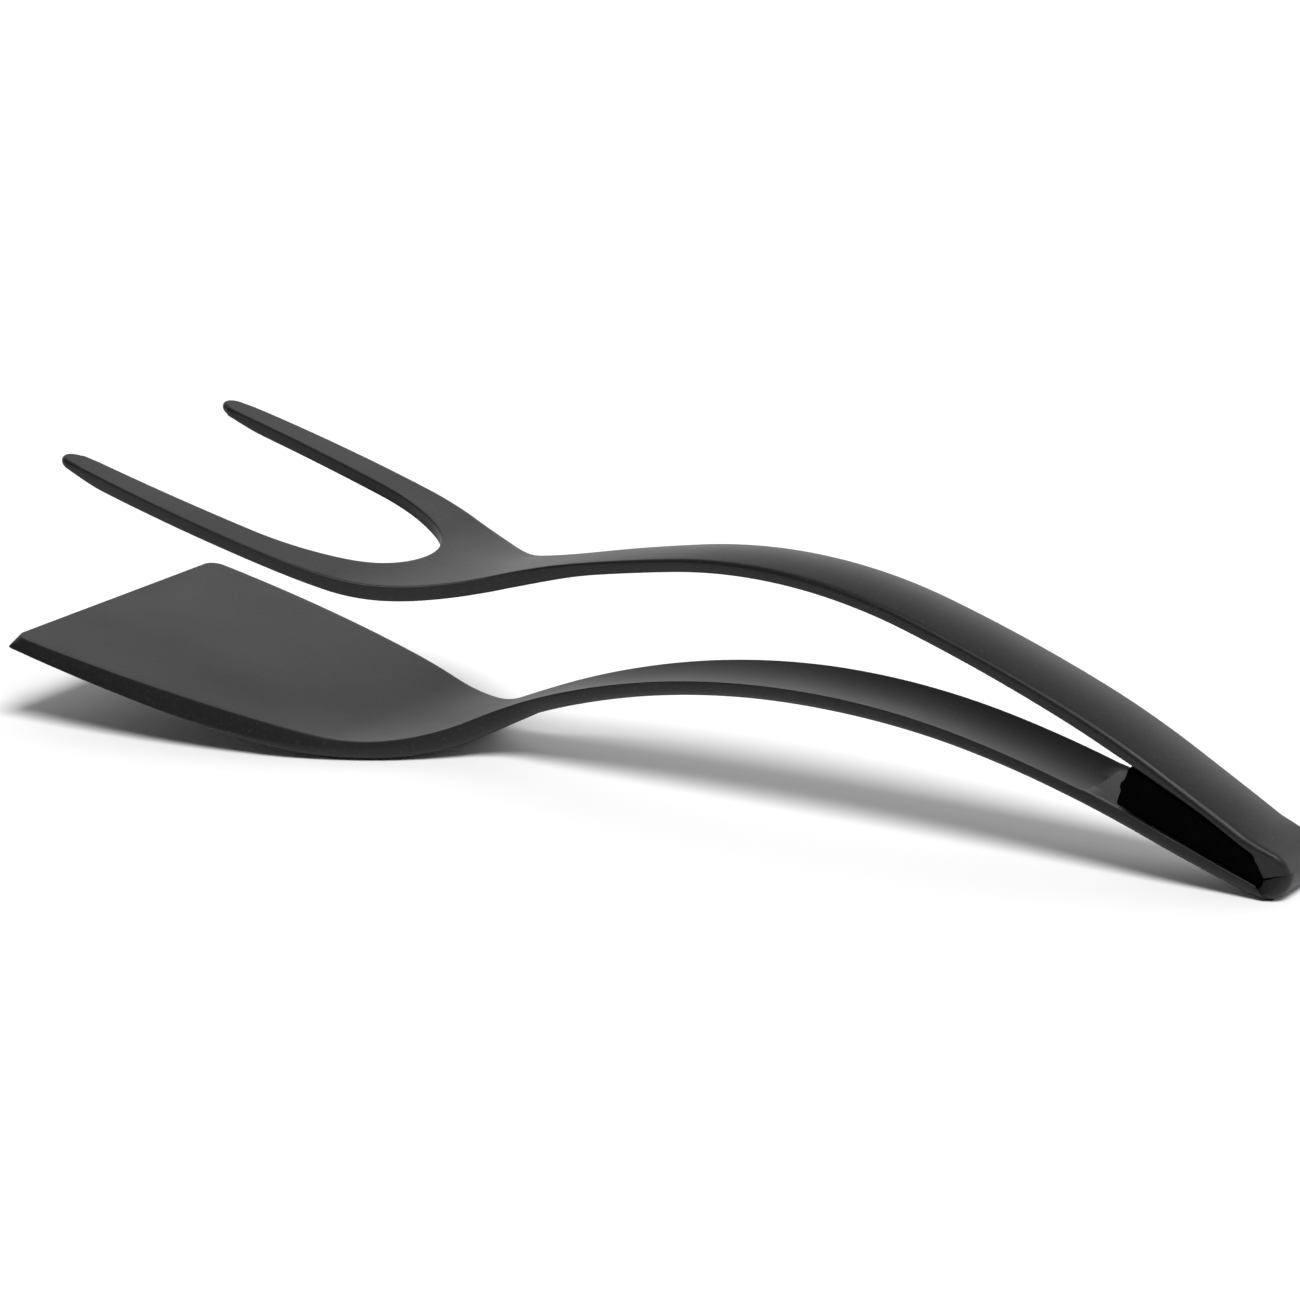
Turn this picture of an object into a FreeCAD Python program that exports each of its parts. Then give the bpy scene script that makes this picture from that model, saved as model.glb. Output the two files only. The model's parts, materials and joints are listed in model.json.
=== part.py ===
import FreeCAD, Part
import math
import os
import Sketcher

# A kitchen turner-tong in black nylon. A flat blade and a two-tine fork sit one above the other at the
# ends of two long arched arms, and squeezing the arms brings the fork down onto the blade.
#
# Frame: +X runs from the blade to the tail, +Y is sideways, +Z is up. The origin is under the middle of
# the tool, on the surface that it stands on: the underside of the blade's heel and the tail's rounded end
# both touch z = 0. Each arm is drawn by the line that its top surface follows in the XZ plane, as straight
# runs and tangent arcs, and by its outline seen from above.

doc = FreeCAD.newDocument("turner_tong")

SIZES = [
    # overall
    ("overall_length", 301.0),
    ("arm_thickness", 3.0),
    # the spatula arm is thicker than that at its neck and along its arch, and thins towards the tail
    ("arch_extra", 0.7),
    ("arch_thinning_start", 190.0),
    ("arch_thinning_end", 245.0),
    # spatula arm, side line: distances along X from the blade's front edge
    ("blade_front_height", 20.4),
    ("blade_slope", 11.0),
    ("underside_slope", 13.2),
    ("rest_point", 87.5),
    ("rest_radius_front", 100.0),
    ("rest_radius_rear", 42.0),
    ("rest_rear_end", 105.5),
    ("heel_start", 76.5),
    ("heel_end", 105.5),
    ("heel_radius", 46.0),
    ("crest_end", 230.0),
    ("crest_radius", 190.0),
    ("tail_start", 291.5),
    ("tail_radius", 295.0),
    # spatula arm, outline from above: half widths, and distances from the blade's front edge
    ("blade_width", 80.0),
    ("blade_corner", 2.0),
    ("blade_belly_end", 64.0),
    ("blade_belly_radius", 288.0),
    ("blade_shoulder_end", 94.5),
    ("blade_shoulder_radius", 81.0),
    ("blade_flank_end", 105.0),
    ("spatula_neck_end", 118.5),
    ("spatula_neck_radius", 20.2),
    ("spatula_flare_end", 186.0),
    ("spatula_flare_radius", 976.0),
    ("tail_width", 21.0),
    # cross sections of the arms: the spatula arm's top is a shallow gutter, the fork arm's is crowned
    ("gutter_radius", 32.0),
    ("crown_radius", 38.0),
    ("hollow_radius", 50.0),
    ("fade_length", 34.0),
    ("arm_stations", 15),
    # flat channel in the spatula arm's top that holds the spring block
    ("channel_start", 255.0),
    ("channel_floor", 9.0),
    ("channel_mouth", 13.0),
    ("channel_depth", 1.2),
    # fork arm, side line: distances along X from the tines' tips
    ("tine_setback", 10.2),
    ("tine_height", 62.3),
    ("tine_slope", 15.0),
    ("fork_heel_start", 71.3),
    ("fork_heel_end", 101.3),
    ("fork_heel_radius", 58.9),
    ("fork_rise_end", 144.3),
    ("fork_rise_radius", 457.0),
    ("fork_crest_end", 205.3),
    ("fork_crest_radius", 131.0),
    ("fork_tail_start", 281.3),
    ("fork_tail_radius", 418.0),
    # fork arm, outline from above
    ("fork_tip_heading", 4.8),
    ("tine_tip_radius", 3.1),
    ("tine_tip_spacing", 61.4),
    ("fork_belly_end", 55.8),
    ("fork_belly_radius", 283.0),
    ("fork_shoulder_end", 87.8),
    ("fork_shoulder_radius", 61.0),
    ("fork_flank_end", 96.0),
    ("fork_neck_end", 119.65),
    ("fork_neck_radius", 34.0),
    ("fork_flare_end", 254.2),
    ("fork_flare_radius", 1800.0),
    ("crotch_side_end", 47.8),
    ("crotch_side_radius", 420.0),
    ("crotch_flank_end", 66.8),
    ("crotch_flank_radius", 45.0),
    ("crotch_radius", 22.0),
    # tail: the rounded end, the hinge bead inside it, and the spring block in the crotch
    ("nose_radius", 5.4),
    ("slot_end", 5.9),
    ("hinge_inset", 3.1),
    ("hinge_height", 5.4),
    ("bead_radius", 1.5),
    ("bead_clearance", 0.15),
    ("seam_height", 6.4),
    ("seam_gap", 0.1),
    ("inner_seam_gap", 0.5),
    ("spring_front", 263.0),
    ("spring_lean", 3.6),
    ("spring_width", 19.6),
    ("spring_clearance", 0.3),
]

sheet = doc.addObject("Spreadsheet::Sheet", "sizes")
for row, (alias, value) in enumerate(SIZES, start=1):
    sheet.set("A%d" % row, alias)
    sheet.set("B%d" % row, str(value))
    sheet.setAlias("B%d" % row, alias)
doc.recompute()


def size(alias):
    return float(getattr(sheet, alias))


def amount(rule):
    """What an expression over the sheet's cells comes to."""
    value = sheet.evalExpression(rule)
    return float(getattr(value, "Value", value))


BLADE_FRONT = -size("overall_length") / 2
TINE_FRONT = BLADE_FRONT + size("tine_setback")
XZ_PLANE = FreeCAD.Rotation(FreeCAD.Vector(1, 0, 0), 90)


# A drawn curve is a pair: its geometry, and the sheet's rule for its radius or length, if it has one.

def arc_about(centre, radius, start_angle, end_angle, rule=None):
    """A counter-clockwise arc between two angles in radians."""
    circle = Part.Circle(centre, FreeCAD.Vector(0, 0, 1), radius)
    return Part.ArcOfCircle(circle, start_angle, end_angle), rule


def ruled_arc(centre, rule, start_angle, end_angle):
    return arc_about(centre, amount(rule), start_angle, end_angle, rule)


def line(x0, y0, x1, y1, rule=None):
    return Part.LineSegment(FreeCAD.Vector(x0, y0, 0), FreeCAD.Vector(x1, y1, 0)), rule


def left(cell):
    """A left turn's signed radius and its rule."""
    return size(cell), "sizes." + cell


def right(cell):
    return -size(cell), "sizes." + cell


class Walk:
    """A line of straight runs and tangent arcs, each ending at a given distance along X.

    A positive radius turns left (upwards in a side view), a negative one turns right.
    """

    def __init__(self, x, y, heading_degrees):
        self.x = x
        self.y = y
        self.heading = math.radians(heading_degrees)
        self.steps = []

    def straight(self, x_end):
        y_end = self.y + (x_end - self.x) * math.tan(self.heading)
        self.steps.append((self.x, self.y, self.heading, x_end, y_end, self.heading, None, None))
        self.x, self.y = x_end, y_end
        return self

    def arc(self, x_end, radius, rule=None):
        sine = math.sin(self.heading) + (x_end - self.x) / radius
        turned = math.asin(max(-1.0, min(1.0, sine)))
        y_end = self.y + radius * (math.cos(self.heading) - math.cos(turned))
        self.steps.append((self.x, self.y, self.heading, x_end, y_end, turned, radius, rule))
        self.x, self.y, self.heading = x_end, y_end, turned
        return self

    def height_at(self, x):
        for x0, y0, h0, x1, y1, h1, radius, rule in self.steps:
            if x <= x1 + 1e-9:
                break
        if radius is None:
            return y0 + (x - x0) * math.tan(h0)
        turned = math.asin(math.sin(h0) + (x - x0) / radius)
        return y0 + radius * (math.cos(h0) - math.cos(turned))

    def slope_at(self, x):
        return math.atan((self.height_at(x) - self.height_at(x - 0.01)) / 0.01)

    def shifted(self, side, shift_rule):
        """The same line moved a constant distance to its left (side = 1) or its right (side = -1)."""
        distance = side * amount(shift_rule)
        moved = Walk(0, 0, 0)
        for x0, y0, h0, x1, y1, h1, radius, rule in self.steps:
            new_radius = None if radius is None else radius - distance
            if rule is not None:
                rule += (" - (%s)" if radius * distance > 0 else " + (%s)") % shift_rule
            moved.steps.append((x0 - distance * math.sin(h0), y0 + distance * math.cos(h0), h0,
                                x1 - distance * math.sin(h1), y1 + distance * math.cos(h1), h1,
                                new_radius, rule))
        last = moved.steps[-1]
        moved.x, moved.y, moved.heading = last[3], last[4], last[5]
        return moved

    def from_x(self, x, lead=0):
        """The part of the line beyond x, led in by a short straight run if one is asked for."""
        slope = self.slope_at(x)
        rest = Walk(x - lead, self.height_at(x) - lead * math.tan(slope), math.degrees(slope))
        if lead:
            rest.straight(x)
        for step in self.steps:
            if step[3] <= x + 1e-6:
                continue
            if step[6] is None:
                rest.straight(step[3])
            else:
                rest.arc(step[3], step[6], step[7])
        return rest

    def up_to(self, x):
        """The part of the line before x."""
        first = self.steps[0]
        part = Walk(first[0], first[1], math.degrees(first[2]))
        for step in self.steps:
            end = min(step[3], x)
            if step[6] is None:
                part.straight(end)
            else:
                part.arc(end, step[6], step[7])
            if end >= x - 1e-9:
                break
        return part

    def curves(self, mirror=1):
        """The line's curves in its own XY plane; mirror = -1 flips them over the X axis."""
        drawn = []
        for x0, y0, h0, x1, y1, h1, radius, rule in self.steps:
            if radius is None:
                drawn.append(line(x0, y0 * mirror, x1, y1 * mirror))
                continue
            centre = FreeCAD.Vector(x0 - radius * math.sin(h0), (y0 + radius * math.cos(h0)) * mirror, 0)
            quarter = math.copysign(math.pi / 2, radius)
            angles = sorted([mirror * (h0 - quarter), mirror * (h1 - quarter)])
            drawn.append(arc_about(centre, abs(radius), angles[0], angles[1], rule))
        return drawn

    def line_to(self, x_end, y_end):
        self.heading = math.atan2(y_end - self.y, x_end - self.x)
        return self.straight(x_end)


def sketch(name, curves, placement=FreeCAD.Placement()):
    """A sketch of the given curves, joined wherever two ends meet and driven by their rules."""
    drawing = doc.addObject("Sketcher::SketchObject", name)
    drawing.Placement = placement
    shapes = [shape for shape, rule in curves]
    drawing.addGeometry(shapes, False)
    ends = [(shape.StartPoint, shape.EndPoint) for shape in shapes]
    following = list(range(1, len(shapes))) + [0]
    for here, there in enumerate(following):
        for near in (2, 1):
            for far in (1, 2):
                meet = ends[here][near - 1].distanceToPoint(ends[there][far - 1]) < 1e-6
                if meet and here != there and not (len(shapes) == 2 and here == 1):
                    drawing.addConstraint(Sketcher.Constraint("Coincident", here, near, there, far))
    for number, (shape, rule) in enumerate(curves):
        if rule is not None:
            drive(drawing, number, shape, rule)
    return drawing


def drive(drawing, number, shape, rule):
    """Bind an arc's radius or a line's length to the sheet."""
    kind = "Radius" if isinstance(shape, Part.ArcOfCircle) else "Distance"
    index = drawing.addConstraint(Sketcher.Constraint(kind, number, amount(rule)))
    title = "%s_%d" % (kind.lower(), number)
    drawing.renameConstraint(index, title)
    drawing.setExpression("Constraints." + title, rule)


# ---- lines that both arms are built on ----

SIDE_VIEW = FreeCAD.Placement(FreeCAD.Vector(0, 0, 0), XZ_PLANE)
TAIL_X = BLADE_FRONT + size("tail_start")
NOSE_X = size("overall_length") / 2 - size("nose_radius")
HALF_TAIL = size("tail_width") / 2


def spatula_top_line():
    walk = Walk(BLADE_FRONT, size("blade_front_height"), -size("blade_slope"))
    walk.straight(BLADE_FRONT + size("heel_start"))
    walk.arc(BLADE_FRONT + size("heel_end"), *left("heel_radius"))
    walk.arc(BLADE_FRONT + size("crest_end"), *right("crest_radius"))
    return walk.arc(TAIL_X, *right("tail_radius"))


def fork_top_line():
    walk = Walk(TINE_FRONT, size("tine_height"), -size("tine_slope"))
    walk.straight(TINE_FRONT + size("fork_heel_start"))
    walk.arc(TINE_FRONT + size("fork_heel_end"), *left("fork_heel_radius"))
    walk.arc(TINE_FRONT + size("fork_rise_end"), *right("fork_rise_radius"))
    walk.arc(TINE_FRONT + size("fork_crest_end"), *right("fork_crest_radius"))
    return walk.arc(TINE_FRONT + size("fork_tail_start"), *right("fork_tail_radius"))


def spatula_outline():
    """Half of the spatula arm's outline from above, from behind its corner to the tail."""
    start_x = BLADE_FRONT + size("blade_corner")
    walk = Walk(start_x, size("blade_width") / 2, 0)
    walk.arc(BLADE_FRONT + size("blade_belly_end"), *right("blade_belly_radius"))
    walk.arc(BLADE_FRONT + size("blade_shoulder_end"), *right("blade_shoulder_radius"))
    walk.straight(BLADE_FRONT + size("blade_flank_end"))
    walk.arc(BLADE_FRONT + size("spatula_neck_end"), *left("spatula_neck_radius"))
    walk.arc(BLADE_FRONT + size("spatula_flare_end"), *right("spatula_flare_radius"))
    return walk.line_to(TAIL_X, HALF_TAIL)


def fork_outline():
    """Half of the fork's outer outline, from the side of a tine's round tip to the tail."""
    heading = math.radians(size("fork_tip_heading"))
    radius = size("tine_tip_radius")
    walk = Walk(TINE_FRONT + radius - radius * math.sin(heading),
                size("tine_tip_spacing") / 2 + radius * math.cos(heading), size("fork_tip_heading"))
    walk.arc(TINE_FRONT + size("fork_belly_end"), *right("fork_belly_radius"))
    walk.arc(TINE_FRONT + size("fork_shoulder_end"), *right("fork_shoulder_radius"))
    walk.straight(TINE_FRONT + size("fork_flank_end"))
    walk.arc(TINE_FRONT + size("fork_neck_end"), *left("fork_neck_radius"))
    walk.arc(TINE_FRONT + size("fork_flare_end"), *right("fork_flare_radius"))
    return walk.line_to(TAIL_X, HALF_TAIL)


def crotch_outline():
    """Half of the gap between the tines, from a tip's inner side to the middle of the crotch."""
    def walk_from(y):
        walk = Walk(TINE_FRONT + size("tine_tip_radius"), y, 0)
        walk.arc(TINE_FRONT + size("crotch_side_end"), *right("crotch_side_radius"))
        walk.arc(TINE_FRONT + size("crotch_flank_end"), *right("crotch_flank_radius"))
        last_x = walk.x + size("crotch_radius") * (1 + math.sin(walk.heading))
        return walk.arc(last_x, *right("crotch_radius"))
    return walk_from(-walk_from(0).y)


# ---- shared building steps ----

def side_plate(name, curves, width_cell):
    """A side-view outline given its full width, half on each side of the middle plane."""
    plate = doc.addObject("Part::Extrusion", name)
    plate.Base = sketch(name + "_outline", curves, SIDE_VIEW)
    plate.DirMode = "Normal"
    plate.Symmetric = True
    plate.Solid = True
    plate.setExpression("LengthFwd", "sizes." + width_cell)
    return plate


def plan_prism(name, curves):
    """An outline seen from above, tall enough to cut the whole tool."""
    prism = doc.addObject("Part::Extrusion", name)
    prism.Base = sketch(name + "_outline", curves)
    prism.DirMode = "Normal"
    prism.Solid = True
    prism.setExpression("LengthFwd", "sizes.overall_length / 2")
    prism.setExpression("LengthRev", "sizes.nose_radius")
    return prism


def across(walk, x):
    """The placement of a section across a side-view line: its own X is sideways and its Y is up."""
    slope = walk.slope_at(x)
    sideways = FreeCAD.Vector(0, 1, 0)
    upwards = FreeCAD.Vector(-math.sin(slope), 0, math.cos(slope))
    turn = FreeCAD.Rotation(sideways, upwards, sideways.cross(upwards), "ZXY")
    return FreeCAD.Placement(FreeCAD.Vector(x, 0, walk.height_at(x)), turn)


def swept(name, walk, section_curves):
    """A section swept along a side-view line."""
    path = sketch(name + "_path", walk.curves(), SIDE_VIEW)
    section = sketch(name + "_section", section_curves, across(walk, walk.steps[0][0] + 0.01))
    sweep = doc.addObject("Part::Sweep", name)
    sweep.Sections = [section]
    sweep.Spine = (path, [])
    sweep.Solid = True
    sweep.Frenet = False
    return sweep


def bow(half, level, rise):
    """An arc across an arm between its two sides, bowed up or down in the middle."""
    radius = (half * half + rise * rise) / (2 * abs(rise))
    centre = FreeCAD.Vector(0, level + rise - math.copysign(radius, rise), 0)
    reach = math.asin(half / radius)
    upright = math.copysign(math.pi / 2, rise)
    return arc_about(centre, radius, upright - reach, upright + reach)


def faded(x, x_start, x_end):
    """0 at both ends of an arm and 1 along its middle, so that its section meets flat neighbours."""
    inside = min(x - x_start, x_end - x) / size("fade_length")
    inside = max(0.0, min(1.0, inside))
    return inside * inside * (3 - 2 * inside)


def arch_share(x):
    """How much of the arch's extra thickness the spatula arm has at x: 1 at the neck, 0 at the tail."""
    start = BLADE_FRONT + size("arch_thinning_start")
    end = BLADE_FRONT + size("arch_thinning_end")
    share = max(0.0, min(1.0, (end - x) / (end - start)))
    return share * share * (3 - 2 * share)


def arm_loft(name, walk, outline, x_start, x_end, top_radius, under_radius, extra_at=None):
    """A long arm through sections across its line, each as wide as the outline is there.

    The top and underside bow up by half_width squared over twice their radius; 0 leaves one flat.
    extra_at gives the share of the arch's extra thickness that a section has.
    """
    least_rise = 0.01
    count = int(size("arm_stations"))
    sections = []
    for number in range(count):
        x = x_start + (x_end - x_start) * number / (count - 1)
        half = outline.height_at(min(x, TAIL_X))
        rises = []
        for radius in (top_radius, under_radius):
            rise = half * half / (2 * radius) * faded(x, x_start, x_end) if radius else 0.0
            rises.append(math.copysign(max(abs(rise), least_rise), radius or 1))
        side_rule = "sizes.arm_thickness"
        if extra_at:
            side_rule += " + %.4f * sizes.arch_extra" % extra_at(x)
        under = -amount(side_rule)
        curves = [bow(half, 0, rises[0]), line(half, 0, half, under, side_rule),
                  bow(half, under, rises[1]), line(-half, under, -half, 0, side_rule)]
        sections.append(sketch("%s_section_%d" % (name, number + 1), curves, across(walk, x)))
    loft = doc.addObject("Part::Loft", name)
    loft.Sections = sections
    loft.Solid = True
    loft.Ruled = False
    return loft


def fused(name, pieces):
    result = doc.addObject("Part::MultiFuse", name)
    result.Shapes = pieces
    return result


def common(name, first, second):
    result = doc.addObject("Part::MultiCommon", name)
    result.Shapes = [first, second]
    return result


def cut(name, base, tool):
    result = doc.addObject("Part::Cut", name)
    result.Base = base
    result.Tool = tool
    return result


def box_section(half_width, top, bottom):
    return [line(-half_width, bottom, half_width, bottom), line(half_width, bottom, half_width, top),
            line(half_width, top, -half_width, top), line(-half_width, top, -half_width, bottom)]


# ---- the tail's side view, shared by both arms ----

TIP_X = size("overall_length") / 2
SLOT_X = TIP_X - size("slot_end")
NOSE = FreeCAD.Vector(TIP_X - size("nose_radius"), size("nose_radius"), 0)
HINGE = FreeCAD.Vector(TIP_X - size("hinge_inset"), size("hinge_height"), 0)


def tangent_over(x, y, centre, radius):
    """Where a line from (x, y) that passes over a circle touches it."""
    reach = math.hypot(centre.x - x, centre.y - y)
    direction = math.atan2(centre.y - y, centre.x - x) + math.asin(radius / reach)
    length = math.sqrt(reach * reach - radius * radius)
    return x + length * math.cos(direction), y + length * math.sin(direction)


def angle_at_height(centre, radius, height):
    """The angle on a circle's right side where it reaches a height."""
    return math.asin((height - centre.y) / radius)


def point_at(centre, radius, angle):
    return centre.x + radius * math.cos(angle), centre.y + radius * math.sin(angle)


def run_through(points):
    return [line(*first, *last) for first, last in zip(points, points[1:])]


def spatula_tail():
    """The lower half of the tail: rounded underside, end wall and the groove that holds the bead."""
    top = spatula_top_line()
    under = top.shifted(-1, "sizes.arm_thickness")
    settle = under.y / (1 - math.cos(under.heading))
    flat_x = under.x - settle * math.sin(under.heading)
    turn = Walk(under.x, under.y, math.degrees(under.heading)).arc(flat_x, settle)

    groove_rule = "sizes.bead_radius + sizes.bead_clearance"
    groove = amount(groove_rule)
    inner_lip = size("seam_height") - size("inner_seam_gap")
    outer_lip = size("seam_height") - size("seam_gap")
    inner_angle = math.pi - angle_at_height(HINGE, groove, inner_lip)
    outer_angle = 2 * math.pi + angle_at_height(HINGE, groove, outer_lip)
    nose_angle = angle_at_height(NOSE, size("nose_radius"), outer_lip)

    slot_floor = top.y + (SLOT_X - top.x) * math.tan(top.heading)
    curves = run_through([(under.x, under.y), (top.x, top.y), (SLOT_X, slot_floor), (SLOT_X, inner_lip),
                          point_at(HINGE, groove, inner_angle)])
    curves.append(ruled_arc(HINGE, groove_rule, inner_angle, outer_angle))
    curves += run_through([point_at(HINGE, groove, outer_angle),
                           point_at(NOSE, size("nose_radius"), nose_angle)])
    curves.append(ruled_arc(NOSE, "sizes.nose_radius", -math.pi / 2, nose_angle))
    curves.append(line(NOSE.x, turn.y, turn.x, turn.y))
    curves += turn.curves()
    return side_plate("spatula_tail", curves, "tail_width")


def fork_tail():
    """The upper half of the tail, with the bead that turns in the spatula arm's groove."""
    top = fork_top_line()
    under = top.shifted(-1, "sizes.arm_thickness")
    seam = size("seam_height")
    nose_radius = size("nose_radius")
    touch = tangent_over(top.x, top.y, NOSE, nose_radius)
    touch_angle = math.atan2(touch[1] - NOSE.y, touch[0] - NOSE.x)
    seam_angle = angle_at_height(NOSE, nose_radius, seam)
    bead_angle = angle_at_height(HINGE, size("bead_radius"), seam)
    slot_roof = under.y + (SLOT_X - under.x) * math.tan(under.heading)

    curves = run_through([(under.x, under.y), (top.x, top.y), touch])
    curves.append(ruled_arc(NOSE, "sizes.nose_radius", seam_angle, touch_angle))
    curves += run_through([point_at(NOSE, nose_radius, seam_angle),
                           point_at(HINGE, size("bead_radius"), bead_angle)])
    curves.append(ruled_arc(HINGE, "sizes.bead_radius", math.pi - bead_angle, 2 * math.pi + bead_angle))
    curves += run_through([point_at(HINGE, size("bead_radius"), math.pi - bead_angle), (SLOT_X, seam),
                           (SLOT_X, slot_roof), (under.x, under.y)])
    return side_plate("fork_tail", curves, "tail_width")


# ---- spatula arm: blade, arched arm and the lower half of the tail ----

def blade_underside(neck_x):
    """The underside of the blade and heel, which thickens to the heel that the tool stands on."""
    neck = spatula_top_line().up_to(neck_x).shifted(-1, "sizes.arm_thickness + sizes.arch_extra")
    slope = size("underside_slope")
    rest_x = BLADE_FRONT + size("rest_point")
    roll = size("rest_radius_front")
    walk = Walk(rest_x, 0, 0).arc(BLADE_FRONT + size("rest_rear_end"), *left("rest_radius_rear"))
    walk.line_to(neck.x, neck.y)
    lead_x = rest_x - roll * math.sin(math.radians(slope))
    lead_z = roll * (1 - math.cos(math.radians(slope)))
    front_z = lead_z + (lead_x - BLADE_FRONT) * math.tan(math.radians(slope))
    lead = Walk(BLADE_FRONT, front_z, -slope).straight(lead_x).arc(rest_x, *left("rest_radius_front"))
    lead.steps += walk.steps
    lead.x, lead.y = walk.x, walk.y
    return lead


def blade_plate():
    """The blade and its heel as far as the neck: a bent plate trimmed to the outline seen from above."""
    neck_x = BLADE_FRONT + size("spatula_neck_end")
    half_blade = size("blade_width") / 2
    corner = size("blade_corner")
    top = spatula_top_line().up_to(neck_x)
    under = blade_underside(neck_x)
    profile = top.curves() + [line(top.x, top.y, under.x, under.y)]
    profile += reversed(under.curves())
    profile.append(line(BLADE_FRONT, under.steps[0][1], BLADE_FRONT, top.steps[0][1]))
    plate = side_plate("blade_bend", profile, "blade_width")

    side = spatula_outline().up_to(neck_x)
    side.straight(neck_x + 2 * size("arm_thickness"))
    front_y = half_blade - corner
    quarter = math.pi / 2
    curves = side.curves()
    curves.append(line(side.x, side.y, side.x, -side.y))
    curves += reversed(side.curves(mirror=-1))
    corner_x = BLADE_FRONT + corner
    front_rule = "sizes.blade_width - 2 * sizes.blade_corner"
    near = FreeCAD.Vector(corner_x, -front_y, 0)
    far = FreeCAD.Vector(corner_x, front_y, 0)
    curves.append(ruled_arc(near, "sizes.blade_corner", 2 * quarter, 3 * quarter))
    curves.append(line(BLADE_FRONT, -front_y, BLADE_FRONT, front_y, front_rule))
    curves.append(ruled_arc(far, "sizes.blade_corner", quarter, 2 * quarter))
    return common("blade", plate, plan_prism("blade_prism", curves))


def channel_section(spare, above):
    """The channel's section across the arm, narrower by the spare on each side."""
    floor = size("channel_floor") / 2 - spare
    mouth = size("channel_mouth") / 2 - spare
    depth = size("channel_depth") - spare
    flare = (mouth - floor) / depth * above
    return run_through([(-floor, -depth), (floor, -depth), (mouth + flare, above),
                        (-mouth - flare, above), (-floor, -depth)])


def spatula_arm():
    top = spatula_top_line()
    neck_x = BLADE_FRONT + size("spatula_neck_end")
    beam = arm_loft("spatula_beam", top, spatula_outline(), neck_x, TAIL_X, -size("gutter_radius"), 0,
                    arch_share)
    channel_line = top.from_x(BLADE_FRONT + size("channel_start"), lead=0.5)
    channel_line.straight(SLOT_X)
    channel = swept("spring_channel", channel_line, channel_section(0, size("channel_depth")))
    return fused("spatula_arm", [blade_plate(), cut("channelled_beam", beam, channel), spatula_tail()])


# ---- fork arm: two tines, arched arm and the upper half of the tail ----

def fork_plate():
    """The fork as far as its neck: a bent plate trimmed to the tines' outline seen from above."""
    neck_x = TINE_FRONT + size("fork_neck_end")
    bend = fork_top_line().up_to(neck_x)
    half_fork = size("tine_tip_spacing") / 2 + 3 * size("tine_tip_radius")
    plate = swept("fork_bend", bend, box_section(half_fork, 0, -size("arm_thickness")))

    outer = fork_outline().up_to(neck_x)
    outer.straight(neck_x + 2 * size("arm_thickness"))
    inner = crotch_outline()
    radius = size("tine_tip_radius")
    tip = FreeCAD.Vector(TINE_FRONT + radius, size("tine_tip_spacing") / 2, 0)
    tip_start = math.pi / 2 + math.radians(size("fork_tip_heading"))
    curves = outer.curves()
    curves.append(line(outer.x, outer.y, outer.x, -outer.y))
    curves += reversed(outer.curves(mirror=-1))
    far_tip = FreeCAD.Vector(tip.x, -tip.y, 0)
    curves.append(ruled_arc(far_tip, "sizes.tine_tip_radius", math.pi / 2, 2 * math.pi - tip_start))
    curves.append(line(tip.x, radius - tip.y, inner.steps[0][0], -inner.steps[0][1]))
    curves += inner.curves(mirror=-1)
    curves += reversed(inner.curves())
    curves.append(line(inner.steps[0][0], inner.steps[0][1], tip.x, tip.y - radius))
    curves.append(ruled_arc(tip, "sizes.tine_tip_radius", tip_start, math.pi * 3 / 2))
    return common("fork", plate, plan_prism("fork_prism", curves))


def fork_arm():
    neck_x = TINE_FRONT + size("fork_neck_end")
    beam = arm_loft("fork_beam", fork_top_line(), fork_outline(), neck_x, TAIL_X,
                    size("crown_radius"), size("hollow_radius"))
    return fused("fork_arm", [fork_plate(), beam, fork_tail()])


# ---- spring block in the tail's crotch ----

def tail_spring():
    """A wedge of rubber between the arms, keyed into the channel, that pushes them apart."""
    clearance = size("spring_clearance")
    front = BLADE_FRONT + size("spring_front")
    end = SLOT_X - clearance
    floor = spatula_top_line().from_x(front)
    floor.straight(end)
    floor = floor.shifted(1, "sizes.spring_clearance")
    lean = size("spring_lean")
    roof = fork_top_line().shifted(-1, "sizes.arm_thickness + sizes.spring_clearance").from_x(front + lean)
    roof.straight(end)
    curves = floor.curves() + [line(floor.x, floor.y, roof.x, roof.y)]
    curves += reversed(roof.curves())
    curves.append(line(roof.steps[0][0], roof.steps[0][1], floor.steps[0][0], floor.steps[0][1]))
    wedge = side_plate("spring_wedge", curves, "spring_width")
    key_line = spatula_top_line().up_to(TAIL_X - clearance).from_x(front, lead=0.5)
    key = swept("spring_key", key_line, channel_section(clearance, 2 * clearance))
    return fused("tail_spring", [wedge, key])


pieces = [spatula_arm(), fork_arm(), tail_spring()]
doc.recompute()

for item in doc.Objects:
    if "Invalid" in item.State or "Error" in item.State:
        raise RuntimeError("%s failed: %s" % (item.Name, item.State))

os.makedirs("parts", exist_ok=True)
for piece in pieces:
    piece.Label = piece.Name
    if piece.Shape.isNull() or not piece.Shape.isValid() or len(piece.Shape.Solids) != 1:
        raise RuntimeError("%s is not one valid solid" % piece.Label)
    piece.Shape.exportStep(os.path.join("parts", piece.Label + ".step"))
    print(piece.Label, round(piece.Shape.Volume, 1), piece.Shape.BoundBox)
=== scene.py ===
import json
import math

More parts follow.
